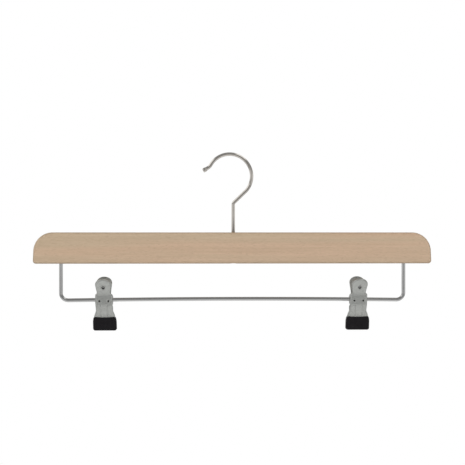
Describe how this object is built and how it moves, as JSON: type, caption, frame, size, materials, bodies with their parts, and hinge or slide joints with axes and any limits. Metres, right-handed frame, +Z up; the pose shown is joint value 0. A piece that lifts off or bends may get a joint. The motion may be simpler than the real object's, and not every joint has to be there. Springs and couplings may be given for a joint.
{
  "type": "trouser hanger",
  "caption": "Flat wooden hanger bar on a swivelling wire hook, with a wire rod below that carries sliding sprung clips with soft sleeves.",
  "frame": {"origin": "the hook's seat: the top of the hook's inner curve, where it rests on a rail", "axes": "+X runs along the bar to the right, +Y points away from the viewer, through the bar's thickness, and +Z is up"},
  "size_m": [0.38, 0.0271, 0.1704],
  "materials": {
    "wood": "pale beech, smooth, thin matt lacquer",
    "hook_steel": "nickel-plated wire, polished",
    "rod_steel": "bright plated wire",
    "clip_steel": "plated sheet, satin",
    "spring_steel": "bright spring wire",
    "sleeve_rubber": "soft black vinyl, matt"
  },
  "bodies": {
    "hook": {"swivel_hook": "hook_steel", "hook_nut": "rod_steel"},
    "bar": {"wooden_bar": "wood", "trouser_rod": "rod_steel", "hook_washer": "rod_steel"},
    "left_tube": {"left_pivot_tube": "rod_steel"},
    "left_front": {"left_front_jaw": "clip_steel", "left_front_sleeve": "sleeve_rubber", "left_torsion_spring": "spring_steel"},
    "left_rear": {"left_rear_jaw": "clip_steel", "left_rear_sleeve": "sleeve_rubber"},
    "right_tube": {"right_pivot_tube": "rod_steel"},
    "right_front": {"right_front_jaw": "clip_steel", "right_front_sleeve": "sleeve_rubber", "right_torsion_spring": "spring_steel"},
    "right_rear": {"right_rear_jaw": "clip_steel", "right_rear_sleeve": "sleeve_rubber"}
  },
  "joints": [
    {"name": "hook_swivel", "type": "hinge", "parent": "hook", "child": "bar", "pos_m": [0.0034, 0, -0.0732], "axis": [0, 0, 1], "continuous": true},
    {"name": "left_clip_slide", "type": "slide", "parent": "bar", "child": "left_tube", "axis": [1, 0, 0], "range_m": [-0.024, 0.111]},
    {"name": "left_clip_swing", "type": "hinge", "parent": "left_tube", "child": "left_front", "pos_m": [-0.1196, 0, -0.13725], "axis": [1, 0, 0], "continuous": true},
    {"name": "left_clip_open", "type": "hinge", "parent": "left_front", "child": "left_rear", "pos_m": [-0.1196, 0, -0.13725], "axis": [1, 0, 0], "range_deg": [0, 50], "stiffness_Nm_per_rad": 0.1, "springref_deg": -68.75, "deforming": ["left_torsion_spring"]},
    {"name": "right_clip_slide", "type": "slide", "parent": "bar", "child": "right_tube", "axis": [1, 0, 0], "range_m": [-0.108, 0.027]},
    {"name": "right_clip_swing", "type": "hinge", "parent": "right_tube", "child": "right_front", "pos_m": [0.1234, 0, -0.13725], "axis": [1, 0, 0], "continuous": true},
    {"name": "right_clip_open", "type": "hinge", "parent": "right_front", "child": "right_rear", "pos_m": [0.1234, 0, -0.13725], "axis": [1, 0, 0], "range_deg": [0, 50], "stiffness_Nm_per_rad": 0.1, "springref_deg": -68.75, "deforming": ["right_torsion_spring"]}
  ]
}
